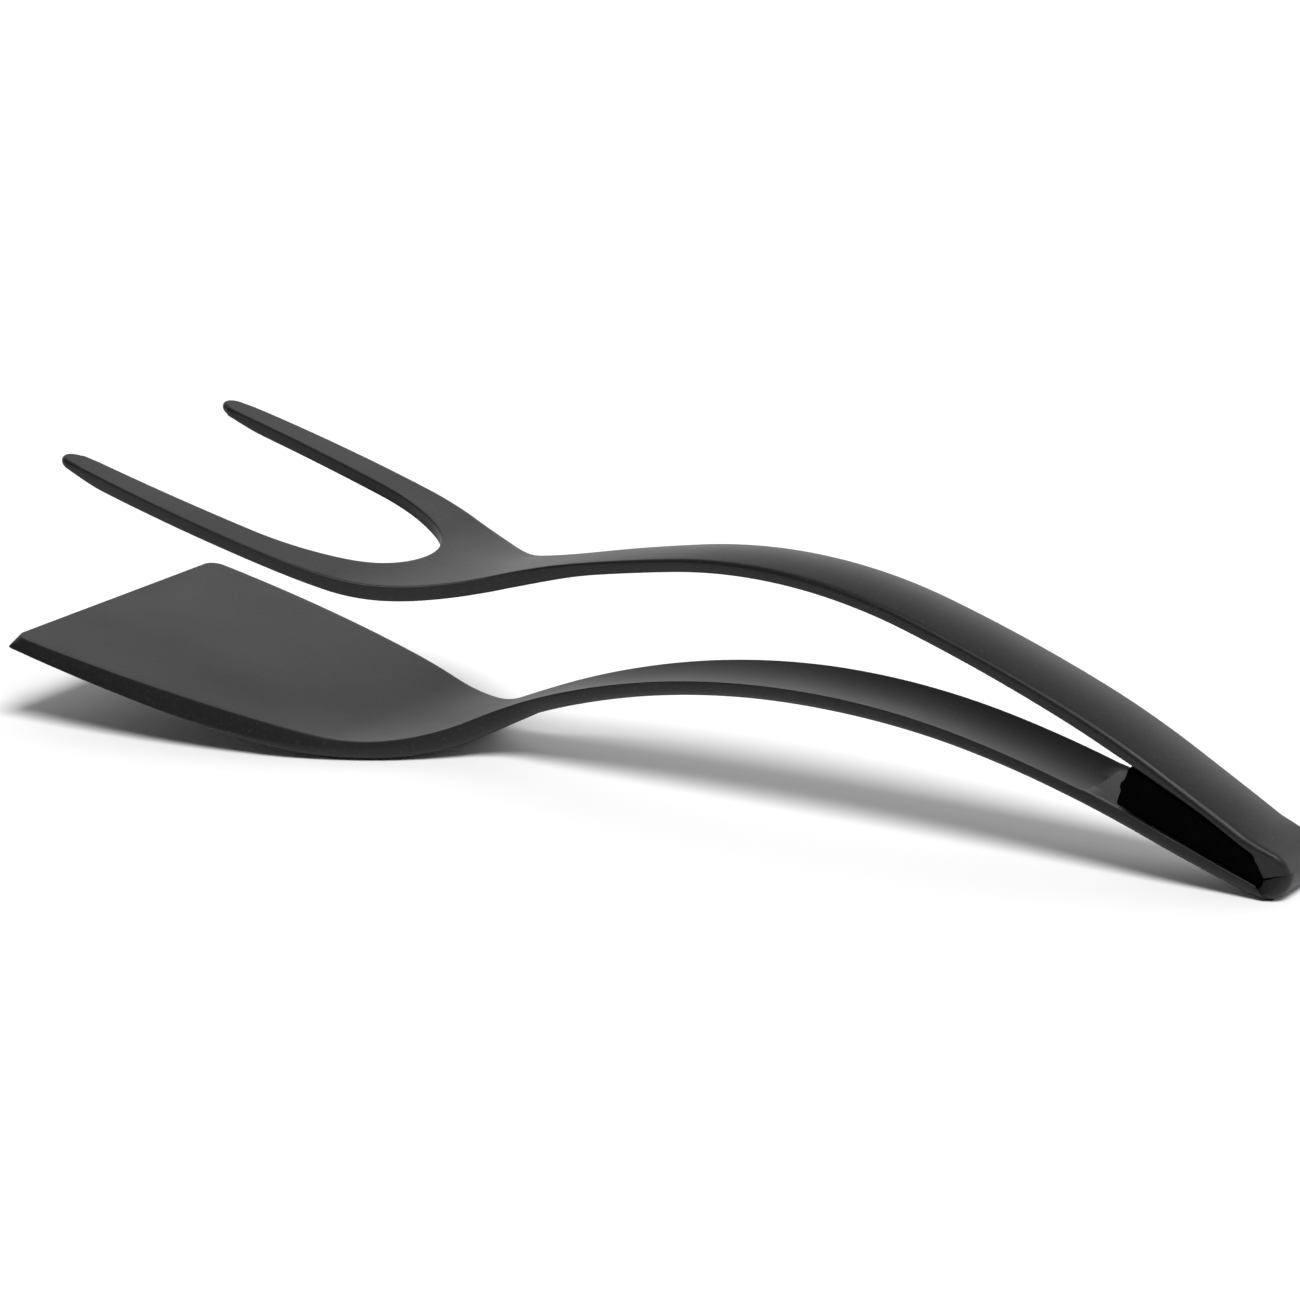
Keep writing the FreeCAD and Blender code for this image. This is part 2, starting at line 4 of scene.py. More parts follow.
import bmesh
import bpy
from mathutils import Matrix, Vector


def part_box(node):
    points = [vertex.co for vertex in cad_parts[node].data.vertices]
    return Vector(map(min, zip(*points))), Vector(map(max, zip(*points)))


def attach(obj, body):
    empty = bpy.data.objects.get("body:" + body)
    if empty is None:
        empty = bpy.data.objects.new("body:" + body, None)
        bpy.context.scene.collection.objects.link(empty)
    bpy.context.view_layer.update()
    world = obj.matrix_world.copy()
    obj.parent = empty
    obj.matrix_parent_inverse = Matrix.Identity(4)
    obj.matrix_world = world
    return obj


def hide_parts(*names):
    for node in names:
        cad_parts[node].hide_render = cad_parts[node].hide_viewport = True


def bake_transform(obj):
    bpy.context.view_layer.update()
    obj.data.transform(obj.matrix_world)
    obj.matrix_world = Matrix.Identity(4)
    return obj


# A black nylon turner tong lying on a pale floor. Lengths are in millimetres, in the frame's own axes,
# and MM turns them into metres where a mesh or the camera is made. Both arms are meshes built from nearly
# the same lines as the CAD arms, with bevels, rounded edges, a crown and a gutter added. Their tail is
# narrower and rounder than the CAD's, the tips of the tines and the roof of the tail are thinner, the fork's
# heel is thicker, and the hidden hinge bead is left out.

MM = 0.001

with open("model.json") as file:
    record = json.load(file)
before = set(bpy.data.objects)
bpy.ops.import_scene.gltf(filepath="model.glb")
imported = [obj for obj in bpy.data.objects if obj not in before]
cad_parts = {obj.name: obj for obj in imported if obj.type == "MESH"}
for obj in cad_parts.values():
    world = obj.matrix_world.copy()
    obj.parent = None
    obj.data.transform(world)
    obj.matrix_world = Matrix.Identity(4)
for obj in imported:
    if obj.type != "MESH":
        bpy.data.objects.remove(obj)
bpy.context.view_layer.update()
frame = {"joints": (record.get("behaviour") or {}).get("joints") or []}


def cad_corner(node, which):
    """A CAD node's lowest (0) or highest (1) corner in millimetres."""
    return Vector(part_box(node)[which]) / MM


BLADE_FRONT = cad_corner("spatula_arm", 0).x
TIP_X = cad_corner("spatula_arm", 1).x
HALF_BLADE = cad_corner("spatula_arm", 1).y
TINE_FRONT = cad_corner("fork_arm", 0).x
TINE_HEIGHT = cad_corner("fork_arm", 1).z
HINGE = Vector(frame["joints"][0]["pos_m"]) / MM

THICKNESS = 3.0
HALF_TAIL = 10.5
HALF_END = 9.7
END_TAPER = 1.3
TAIL_REACH = 14.0
ARCH_EXTRA = 0.7
BLADE_CORNER = 0.9
BELLY_START = BLADE_FRONT + 2.0
SPATULA_HEEL_END = BLADE_FRONT + 105.5
SPATULA_NECK = BLADE_FRONT + 118.5
FORK_HEEL_END = TINE_FRONT + 95.0
FORK_NECK = TINE_FRONT + 119.9
TAPER_X = BLADE_FRONT + 272.0
TAIL_THINNING = 1.1
GUTTER_RADIUS = 24.0
CROWN_RADIUS = 38.0
HOLLOW_RADIUS = 50.0
CHANNEL_START = BLADE_FRONT + 255.0
CHANNEL_RAMP = 1.2
CHANNEL_FLOOR = 17.6
CHANNEL_MOUTH = 19.6
CHANNEL_DEPTH = 0.35
TAIL_X = BLADE_FRONT + 291.5
NOSE_RADIUS = 5.4
NOSE = (TIP_X - NOSE_RADIUS, NOSE_RADIUS)
SLOT_X = TIP_X - 5.9
SLOT_CORNER = 1.6
SEAM_HEIGHT = HINGE.z + 1.0
OUTER_LIP = SEAM_HEIGHT - 0.02
INNER_LIP = 4.1
INNER_SEAM = INNER_LIP + 0.58


# ---- lines: straight runs and tangent arcs ----

class Line:
    """A line over X. A positive radius turns it upwards, or outwards in a plan."""

    def __init__(self, x, height, slope_degrees):
        self.steps = []
        self.x = x
        self.height = height
        self.heading = math.radians(slope_degrees)

    def run(self, x_end, radius=None):
        self.steps.append((self.x, self.height, self.heading, x_end, radius))
        self.height, self.heading = self.on_step(self.steps[-1], x_end)
        self.x = x_end
        return self

    @staticmethod
    def on_step(step, x):
        x0, y0, heading, _, radius = step
        if radius is None:
            return y0 + (x - x0) * math.tan(heading), heading
        turned = math.asin(math.sin(heading) + (x - x0) / radius)
        return y0 + radius * (math.cos(heading) - math.cos(turned)), turned

    def at(self, x):
        """Height and heading at x; past its end, the line goes straight on."""
        for step in self.steps:
            if x <= step[3]:
                return self.on_step(step, x)
        return self.height + (x - self.x) * math.tan(self.heading), self.heading


BLADE_LIP_HEIGHT = 20.4
BLADE_TOP_SLOPE = -11.0
BLADE_END = BLADE_FRONT + 76.5
SPATULA_HEEL_RADIUS = 46.0
ARCH_END = BLADE_FRONT + 230.0
ARCH_RADIUS = 190.0
DESCENT_END = BLADE_FRONT + 273.0
DESCENT_RADIUS = 295.0


def spatula_top_line():
    line = Line(BLADE_FRONT, BLADE_LIP_HEIGHT, BLADE_TOP_SLOPE)
    line.run(BLADE_END)
    line.run(SPATULA_HEEL_END, SPATULA_HEEL_RADIUS)
    line.run(ARCH_END, -ARCH_RADIUS)
    line.run(DESCENT_END, -DESCENT_RADIUS)
    return line.run(TAIL_X)


def spatula_under_line():
    """The underside: a flat slope under the blade, the rounded heel, then the rise to the arm."""
    slope = 13.2
    roll = 100.0
    rise_radius = 42.0
    rest_x = BLADE_FRONT + 87.5
    lead_x = rest_x - roll * math.sin(math.radians(slope))
    lead_z = roll * (1 - math.cos(math.radians(slope)))
    front_z = lead_z + (lead_x - BLADE_FRONT) * math.tan(math.radians(slope))
    line = Line(BLADE_FRONT, front_z, -slope).run(lead_x).run(rest_x, roll)
    return line.run(SPATULA_HEEL_END, rise_radius)


BLADE_UNDER = spatula_under_line()


TINE_TOP = TINE_HEIGHT + 0.25
TINE_SLOPE = -15.2
TINE_END = TINE_FRONT + 71.3
FORK_HEEL_SLOPE = -15.0
FORK_HEEL_TURN_END = TINE_FRONT + 101.3
FORK_HEEL_RADIUS = 58.9
CLIMB_END = TINE_FRONT + 144.3
CLIMB_RADIUS = 457.0
CREST_END = TINE_FRONT + 203.9
CREST_RADIUS = 131.0
FALL_END = TINE_FRONT + 240.3
FALL_RADIUS = 418.0
DIP_END = TINE_FRONT + 262.3
DIP_RADIUS = 205.0


def fork_top_line():
    line = Line(TINE_FRONT, TINE_TOP, TINE_SLOPE)
    line.run(TINE_END)
    line.heading = math.radians(FORK_HEEL_SLOPE)
    line.run(FORK_HEEL_TURN_END, FORK_HEEL_RADIUS)
    line.run(CLIMB_END, -CLIMB_RADIUS)
    line.run(CREST_END, -CREST_RADIUS)
    line.run(FALL_END, -FALL_RADIUS)
    line.run(DIP_END, -DIP_RADIUS)
    return line.run(TAIL_X)


BELLY_END = BLADE_FRONT + 64.0
BELLY_RADIUS = 288.0
SHOULDER_END = BLADE_FRONT + 94.5
SHOULDER_RADIUS = 81.0
SHOULDER_RUN_END = BLADE_FRONT + 105.0
SPATULA_NECK_RADIUS = 20.2
SPATULA_FLARE_END = BLADE_FRONT + 186.0
SPATULA_FLARE_RADIUS = 976.0
HALF_TAPER = HALF_TAIL + 0.1


def straight_to(line, x, half):
    """Carry an outline on, straight to a half width at x."""
    line.heading = math.atan2(half - line.height, x - line.x)
    return line.run(x)


def spatula_outline():
    line = Line(BELLY_START, HALF_BLADE, 0)
    line.run(BELLY_END, -BELLY_RADIUS)
    line.run(SHOULDER_END, -SHOULDER_RADIUS)
    line.run(SHOULDER_RUN_END)
    line.run(SPATULA_NECK, SPATULA_NECK_RADIUS)
    line.run(SPATULA_FLARE_END, -SPATULA_FLARE_RADIUS)
    straight_to(line, TAPER_X, HALF_TAPER)
    return straight_to(line, TAIL_X, HALF_END)


TINE_TIP = TINE_FRONT + 0.9
TINE_TIP_RADIUS = 3.1
TINE_TIP_Y = 30.7
TINE_TIP_HEADING = 4.8
TINE_SIDE_END = TINE_FRONT + 55.8
TINE_SIDE_RADIUS = 283.0
PALM_SIDE_END = TINE_FRONT + 87.8
PALM_SIDE_RADIUS = 61.0
PALM_RUN_END = TINE_FRONT + 96.0
FORK_NECK_END = TINE_FRONT + 119.4
FORK_NECK_RADIUS = 34.0
FORK_FLARE_END = TINE_FRONT + 254.2
FORK_FLARE_RADIUS = 1850.0
GAP_SIDE_END = TINE_FRONT + 47.8
GAP_SIDE_RADIUS = 420.0
GAP_TURN_END = TINE_FRONT + 66.8
GAP_TURN_RADIUS = 45.0
CROTCH_RADIUS = 21.6


def fork_outline():
    heading = math.radians(TINE_TIP_HEADING)
    start_x = TINE_TIP + TINE_TIP_RADIUS * (1 - math.sin(heading))
    line = Line(start_x, TINE_TIP_Y + TINE_TIP_RADIUS * math.cos(heading), TINE_TIP_HEADING)
    line.run(TINE_SIDE_END, -TINE_SIDE_RADIUS)
    line.run(PALM_SIDE_END, -PALM_SIDE_RADIUS)
    line.run(PALM_RUN_END)
    line.run(FORK_NECK_END, FORK_NECK_RADIUS)
    line.run(FORK_FLARE_END, -FORK_FLARE_RADIUS)
    return straight_to(line, TAIL_X, HALF_END)


def crotch_outline():
    """Half of the gap between the tines, down to the crotch's middle at y = 0."""
    def from_side(y):
        line = Line(TINE_TIP + TINE_TIP_RADIUS, y, 0)
        line.run(GAP_SIDE_END, -GAP_SIDE_RADIUS)
        line.run(GAP_TURN_END, -GAP_TURN_RADIUS)
        return line.run(line.x + CROTCH_RADIUS * (1 + math.sin(line.heading)), -CROTCH_RADIUS)
    return from_side(-from_side(0).height)


def smooth(value, start, end):
    """0 before start, 1 after end, and a smooth step between them."""
    share = max(0.0, min(1.0, (value - start) / (end - start)))
    return share * share * (3 - 2 * share)


def mix(first, second, share):
    return first + (second - first) * share


# ---- surfaces: a point of an arm from its distance along, its side distance and its depth ----

def on_circle(centre, radius, angle):
    return centre[0] + radius * math.cos(angle), centre[1] + radius * math.sin(angle)


def arc_points(centre, radius, start, end, count):
    return [on_circle(centre, radius, mix(start, end, number / count)) for number in range(count + 1)]


def along(path, share):
    """The point at a share of a path's length."""
    lengths = [math.dist(first, second) for first, second in zip(path, path[1:])]
    left = share * sum(lengths)
    for length, first, second in zip(lengths, path, path[1:]):
        if left <= length:
            return mix(first[0], second[0], left / length), mix(first[1], second[1], left / length)
        left -= length
    return path[-1]


def under_point(x, z, heading, thickness):
    """The point of an arm's underside that faces its top at (x, z)."""
    return x + thickness * math.sin(heading), z - thickness * math.cos(heading)


# Stretches of x over which a shape sets in or dies away.
ARCH_THINNING = (BLADE_FRONT + 190.0, BLADE_FRONT + 245.0)
GUTTER_RISE = (-60.0, -8.0)
DISH_RISE = (-112.0, -62.0)
DISH_FALL = (-58.0, -20.0)
BOWL_FALL = (TAIL_X - 10.0, TAIL_X)
TINE_THICKENING = (TINE_FRONT - 3.0, TINE_FRONT + 14.0)
FORK_HEEL_RISE = (-84.0, -58.0)
FORK_HEEL_FALL = (-36.0, -16.0)
ROOF_THINNING = (TAIL_X - 31.0, TAIL_X - 5.0)
CROWN_RISE = (-45.0, 25.0)
CROWN_FALL = (TAIL_X - 6.0, TAIL_X + TAIL_REACH - 3.0)
HOLLOW_RISE = (-20.0, 25.0)
HOLLOW_FALL = (TAIL_X - 60.0, TAIL_X - 30.0)

DISH_DEPTH = 1.2
TIP_SHARE = 0.5
FORK_HEEL_EXTRA = 0.6
CORNER_TURNS = 6
LOWER_NOSE_TURNS = 16
UPPER_NOSE_TURNS = 14


def bow(half, radius, across):
    """The height of a circle's arc over its chord, at a share of the way across."""
    return half * half / (2 * radius) * (1 - across * across)


class Arm:
    """An arm's side view, and how its section bows across it.

    Past TAIL_X, x counts along the tail: its slot side on one hand and its outside on the other.
    """

    tail_end = TAIL_X + TAIL_REACH

    def __init__(self, top, chord_start, chord_full):
        self.top = top
        self.chord_start = chord_start
        self.chord_full = chord_full
        self.outside = self.outside_path()
        self.inside = self.inside_path()

    def chord(self, x):
        """The top and underside points that face each other at x."""
        if x > TAIL_X:
            share = min(1.0, (x - TAIL_X) / (self.tail_end - TAIL_X))
            return self.tail_chord(share)
        z, heading = self.top.at(x)
        lean = smooth(x, self.chord_start, self.chord_full)
        return (x, z), self.under_chord(x, z, heading, lean)

    def height(self, x):
        return math.dist(*self.chord(x))

    def point(self, x, y, half, depth):
        """A point at side distance y, at a depth from 0 (top) to 1 (underside)."""
        (top_x, top_z), (under_x, under_z) = self.chord(x)
        across = min(1.0, abs(y) / half)
        top_z += self.top_bow(x, y, half, across)
        under_z += self.under_bow(x, half, across)
        return Vector((mix(top_x, under_x, depth), y, mix(top_z, under_z, depth)))


class SpatulaArm(Arm):
    def thickness(self, x):
        return THICKNESS + ARCH_EXTRA * (1 - smooth(x, *ARCH_THINNING))

    def under_chord(self, x, z, heading, lean):
        neck_z, neck_heading = self.top.at(self.chord_full)
        neck = under_point(self.chord_full, neck_z, neck_heading, self.thickness(self.chord_full))
        if lean == 1.0:
            return under_point(x, z, heading, self.thickness(x))
        if lean == 0.0:
            return x, BLADE_UNDER.at(x)[0]
        under_x = x + lean * self.thickness(x) * math.sin(heading)
        start_z = BLADE_UNDER.at(self.chord_start)[0]
        share = (under_x - self.chord_start) / (neck[0] - self.chord_start)
        return under_x, mix(start_z, neck[1], share)

    def outside_path(self):
        """The rounded underside of the tail, from the arm's underside up to the outer lip."""
        z, heading = self.top.at(TAIL_X)
        under = under_point(TAIL_X, z, heading, THICKNESS)
        settle = under[1] / (1 - math.cos(heading))
        flat_x = under[0] - settle * math.sin(heading)
        turn = arc_points((flat_x, settle), settle, heading - math.pi / 2, -math.pi / 2, CORNER_TURNS)
        lip_angle = math.asin((OUTER_LIP - NOSE[1]) / NOSE_RADIUS)
        return turn + arc_points(NOSE, NOSE_RADIUS, -math.pi / 2, lip_angle, LOWER_NOSE_TURNS)

    def inside_path(self):
        """The slot's floor and its end wall up to the inner lip."""
        z, heading = self.top.at(TAIL_X)
        floor = z + (SLOT_X - TAIL_X) * math.tan(heading)
        turn = SLOT_CORNER * math.tan((math.pi / 2 + heading) / 2)
        start = (SLOT_X - turn * math.cos(heading), floor - turn * math.sin(heading))
        centre = (SLOT_X - SLOT_CORNER, floor + turn)
        corner = arc_points(centre, SLOT_CORNER, heading - math.pi / 2, 0.0, CORNER_TURNS)
        return [(TAIL_X, z), start] + corner + [(SLOT_X, INNER_LIP)]

    def tail_chord(self, share):
        return along(self.inside, share), along(self.outside, share)

    def top_bow(self, x, y, half, across):
        """The heel's dish, the gutter along the arm, and the flat channel for the spring block."""
        gutter = bow(half, GUTTER_RADIUS, across) * smooth(x, *GUTTER_RISE)
        dish = DISH_DEPTH * (1 - across * across) * smooth(x, *DISH_RISE) * (1 - smooth(x, *DISH_FALL))
        ramp_share = (CHANNEL_MOUTH / 2 - abs(y)) / (CHANNEL_MOUTH / 2 - CHANNEL_FLOOR / 2)
        channel = CHANNEL_DEPTH * max(0.0, min(1.0, ramp_share))
        land = smooth(x, CHANNEL_START - CHANNEL_RAMP, CHANNEL_START)
        return -mix(gutter + dish, channel, land) * (1 - smooth(x, *BOWL_FALL))

    def under_bow(self, x, half, across):
        """The underside stays straight across."""
        return 0.0


class ForkArm(Arm):
    def thickness(self, x):
        """The tines thin towards their tips, the heel is thicker and the tail thinner."""
        tip = mix(TIP_SHARE, 1.0, smooth(x, *TINE_THICKENING))
        heel = FORK_HEEL_EXTRA * smooth(x, *FORK_HEEL_RISE) * (1 - smooth(x, *FORK_HEEL_FALL))
        return THICKNESS * tip + heel - TAIL_THINNING * smooth(x, *ROOF_THINNING)

    def under_chord(self, x, z, heading, lean):
        thickness = self.thickness(x)
        upright = thickness / math.cos(heading)
        leaning = under_point(x, z, heading, thickness)
        return mix(x, leaning[0], lean), mix(z - upright, leaning[1], lean)

    def outside_path(self):
        """The upper arm's back, over the nose and down to the seam."""
        z = self.top.at(TAIL_X)[0]
        reach = math.dist(NOSE, (TAIL_X, z))
        direction = math.atan2(NOSE[1] - z, NOSE[0] - TAIL_X) + math.asin(NOSE_RADIUS / reach)
        touch = direction + math.pi / 2
        seam = math.asin((SEAM_HEIGHT - NOSE[1]) / NOSE_RADIUS)
        return [(TAIL_X, z)] + arc_points(NOSE, NOSE_RADIUS, touch, seam, UPPER_NOSE_TURNS)

    def inside_path(self):
        """The slot's roof and its end wall down to the seam's inner end."""
        z, heading = self.top.at(TAIL_X)
        start = under_point(TAIL_X, z, heading, self.thickness(TAIL_X))
        roof = start[1] + (SLOT_X - start[0]) * math.tan(heading)
        turn = SLOT_CORNER * math.tan((math.pi / 2 - heading) / 2)
        before = (SLOT_X - turn * math.cos(heading), roof - turn * math.sin(heading))
        centre = under_point(before[0], before[1], heading, SLOT_CORNER)
        corner = arc_points(centre, SLOT_CORNER, heading + math.pi / 2, 0.0, CORNER_TURNS)
        return [start, before] + corner[1:] + [(SLOT_X, INNER_SEAM)]

    def tail_chord(self, share):
        return along(self.outside, share), along(self.inside, share)

    def top_bow(self, x, y, half, across):
        """The crown, which swells from the neck and dies away over the nose."""
        return bow(half, CROWN_RADIUS, across) * smooth(x, *CROWN_RISE) * (1 - smooth(x, *CROWN_FALL))

    def under_bow(self, x, half, across):
        """The hollow under the crown."""
        return bow(half, HOLLOW_RADIUS, across) * smooth(x, *HOLLOW_RISE) * (1 - smooth(x, *HOLLOW_FALL))


# ---- rims: how the top turns into the side and the side into the underside ----

EDGE_STEPS = 6
TAIL_ROUNDING = (TAIL_X - 14.0, TAIL_X + 8.0)
ARM_ROW_STEP = 2.0
TAIL_ROW_STEP = 0.4
SEWING = 0.002
SHARP_ANGLE = math.radians(40.0)


class Edge:
    """One place on an arm's outline: a spot, the way out of the arm, and the top's own edge if bevelled."""

    def __init__(self, x, y, normal, top_spot=None):
        self.spot = (x, y)
        self.normal = normal
        self.top_spot = top_spot or self.spot

    @classmethod
    def on_line(cls, line, x, bevel=0.0, side=1, square_from=math.inf):
        """A place on an outline. Past square_from, its way out is straight across the arm."""
        y, heading = line.at(min(x, TAIL_X))
        y -= END_TAPER * (max(0.0, x - TAIL_X) / TAIL_REACH) ** 2
        if x > square_from:
            heading = 0.0
        normal = (-math.sin(heading) * side, math.cos(heading) * side)
        return cls(x, y, normal, (x - bevel * normal[0], y - bevel * normal[1]))


def rim_rows(arm, edge, half, top_radius, under_radius):
    """The points that lead from the top round to the underside at one place of an outline.

    Both radii are tangent to the side, which leans when the top's edge stands back from the spot.
    """
    height = arm.height(edge.spot[0])
    back = [spot - top for spot, top in zip(edge.spot, edge.top_spot)]
    bevel = max(0.0, back[0] * edge.normal[0] + back[1] * edge.normal[1])
    lean = math.atan2(height, bevel)
    top_reach = top_radius * math.tan(lean / 2)
    under_reach = under_radius * math.tan((math.pi - lean) / 2)
    corners = []
    for number in range(EDGE_STEPS + 1):
        angle = lean * number / EDGE_STEPS
        corners.append((top_radius * math.sin(angle) - bevel - top_reach,
                        top_radius * (1 - math.cos(angle))))
    for number in range(EDGE_STEPS + 1):
        angle = mix(lean, math.pi, number / EDGE_STEPS)
        corners.append((under_radius * math.sin(angle) - under_reach,
                        height - under_radius * (1 + math.cos(angle))))
    points = []
    for out, down in corners:
        share = down / height
        off = out + bevel * (1 - share)
        x, y = [mix(top, spot, share) + off * normal
                for top, spot, normal in zip(edge.top_spot, edge.spot, edge.normal)]
        points.append(arm.point(x, y, half, share))
    return points


class Sheets:
    """A mesh made of grids of points that are sewn together where they meet."""

    def __init__(self):
        self.mesh = bmesh.new()

    def grid(self, rows, mirrored=False):
        flip = -1 if mirrored else 1
        made = [[self.mesh.verts.new((point.x * MM, point.y * MM * flip, point.z * MM)) for point in row]
                for row in rows]
        for one, two in zip(made, made[1:]):
            for number in range(len(one) - 1):
                self.mesh.faces.new((one[number], one[number + 1], two[number + 1], two[number]))

    def finish(self, name, material):
        bmesh.ops.remove_doubles(self.mesh, verts=self.mesh.verts, dist=SEWING * MM)
        bmesh.ops.dissolve_degenerate(self.mesh, edges=self.mesh.edges, dist=SEWING * MM)
        bmesh.ops.recalc_face_normals(self.mesh, faces=self.mesh.faces)
        data = bpy.data.meshes.new(name)
        self.mesh.to_mesh(data)
        self.mesh.free()
        data.materials.append(material)
        data.polygons.foreach_set("use_smooth", [True] * len(data.polygons))
        data.set_sharp_from_angle(angle=SHARP_ANGLE)
        piece = bpy.data.objects.new(name, data)
        bpy.context.scene.collection.objects.link(piece)
        return piece


def spaced(start, end, step):
    count = max(1, round(abs(end - start) / step))
    return [mix(start, end, number / count) for number in range(count + 1)]


def tail_stations(start):
    """Places from start along an arm and round its tail."""
    along_arm = spaced(start, TAIL_X, ARM_ROW_STEP)[1:]
    return along_arm + spaced(TAIL_X, Arm.tail_end, TAIL_ROW_STEP)[1:]


def across_row(arm, x_first, x_last, first, last, half_at, depth, columns):
    """A row of points from one edge of a face to the other."""
    row = [first]
    for column in range(1, columns):
        share = column / columns
        x = mix(x_first, x_last, share)
        row.append(arm.point(x, mix(first.y, last.y, share), half_at(x), depth))
    return row + [last]


def towards_tail(x, near, far):
    """A radius that changes over the last part of an arm, where its outside edges are rounder."""
    return mix(near, far, smooth(x, *TAIL_ROUNDING))


# ---- materials ----

BLUE_SHARE = 1.06


def principled(name):
    material = bpy.data.materials.new(name)
    material.use_nodes = True
    tree = material.node_tree
    return material, tree.nodes, tree.links, tree.nodes["Principled BSDF"]


def noise(nodes, links, scale, detail):
    place = nodes.new("ShaderNodeTexCoord")
    texture = nodes.new("ShaderNodeTexNoise")
    texture.inputs["Scale"].default_value = scale
    texture.inputs["Detail"].default_value = detail
    links.new(place.outputs["Object"], texture.inputs["Vector"])
    return texture.outputs["Fac"]


def ramp(nodes, links, factor, stops):
    """Greys with a little more blue, from stops that give a position and a grey."""
    node = nodes.new("ShaderNodeValToRGB")
    elements = node.color_ramp.elements
    while len(elements) < len(stops):
        elements.new(0.5)
    for element, (position, grey) in zip(elements, stops):
        element.position = position
        element.color = (grey, grey, grey * BLUE_SHARE, 1.0)
    links.new(factor, node.inputs["Fac"])
    return node.outputs["Color"]


def ranged(nodes, links, factor, low, high):
    node = nodes.new("ShaderNodeMapRange")
    node.inputs["To Min"].default_value = low
    node.inputs["To Max"].default_value = high
    links.new(factor, node.inputs["Value"])
    return node.outputs["Result"]


def bumped(nodes, links, shader, heights):
    """Stack bumps, each a height, its strength and its depth in millimetres."""
    normal = None
    for height, strength, depth in heights:
        node = nodes.new("ShaderNodeBump")
        node.inputs["Strength"].default_value = strength
        node.inputs["Distance"].default_value = depth * MM
        links.new(height, node.inputs["Height"])
        if normal is not None:
            links.new(normal, node.inputs["Normal"])
        normal = node.outputs["Normal"]
    links.new(normal, shader.inputs["Normal"])


def nylon():
    """Moulded black nylon: a fine spark-eroded grain, faint flow clouds and a few paler specks."""
    material, nodes, links, shader = principled("nylon")
    grain = noise(nodes, links, scale=1300.0, detail=2.0)
    clouds = noise(nodes, links, scale=45.0, detail=3.0)
    colour = ramp(nodes, links, grain, [(0.3, 0.0028), (0.6, 0.005), (0.78, 0.017)])
    links.new(colour, shader.inputs["Base Color"])
    links.new(ranged(nodes, links, clouds, low=0.44, high=0.54), shader.inputs["Roughness"])
    shader.inputs["Specular IOR Level"].default_value = 0.37
    shader.inputs["Specular Tint"].default_value = (0.97, 0.96, 1.0, 1.0)
    bumped(nodes, links, shader, [(clouds, 0.25, 0.25), (grain, 0.5, 0.04)])
    return material


def rubber_and_painted_shade():
    """Dead-matte black rubber with a fine skin, painted almost pure black with its reflection nearly turned
    off: painted shade for the deep dark hollow inside the tail.
    """
    material, nodes, links, shader = principled("spring_rubber")
    skin = noise(nodes, links, scale=900.0, detail=3.0)
    # Greys far darker than real rubber: painted shade for the hollow between the arms at the tail.
    colour = ramp(nodes, links, skin, [(0.3, 0.0004), (0.7, 0.0012)])
    links.new(colour, shader.inputs["Base Color"])
    shader.inputs["Roughness"].default_value = 0.9
    # Reflection all but off, so the block reads as painted deep shade.
    shader.inputs["Specular IOR Level"].default_value = 0.02
    bumped(nodes, links, shader, [(skin, 0.3, 0.05)])
    return material


NYLON = nylon()
RUBBER_AND_PAINTED_SHADE = rubber_and_painted_shade()


# ---- spatula arm ----

FRONT_BEVEL = 0.9
SIDE_BEVEL = 1.9
TOP_CORNER = 3.4
ARM_BEVEL = 0.3
BEVEL_FALL = (-85.0, -35.0)
SPATULA_TOP_RADIUS = 0.3
BLADE_UNDER_RADIUS = 0.12
HEEL_UNDER_RADIUS = 2.9
NECK_UNDER_RADIUS = 2.3
ARM_UNDER_RADIUS = 1.4
TAIL_UNDER_RADIUS = 2.6
HEEL_ROUNDING = (-112.0, -55.0)
NECK_ROUNDING = (-35.0, -15.0)
ARM_ROUNDING = (20.0, 85.0)
FRONT_COLUMNS = 44
CORNER_STEPS = 8
CORNER_FADE = 14.0
BLADE_ROWS_END = -36.0
BLADE_ROW_STEP = 1.2
SQUARE_START = -40.0


def spatula_bevel(x):
    return mix(SIDE_BEVEL, ARM_BEVEL, smooth(x, *BEVEL_FALL))


def spatula_under_radius(x):
    """The blade's lower edge is sharp, the heel's is well rounded, and the arm's is in between."""
    radius = mix(BLADE_UNDER_RADIUS, HEEL_UNDER_RADIUS, smooth(x, *HEEL_ROUNDING))
    radius = mix(radius, NECK_UNDER_RADIUS, smooth(x, *NECK_ROUNDING))
    radius = mix(radius, ARM_UNDER_RADIUS, smooth(x, *ARM_ROUNDING))
    return towards_tail(x, radius, TAIL_UNDER_RADIUS)


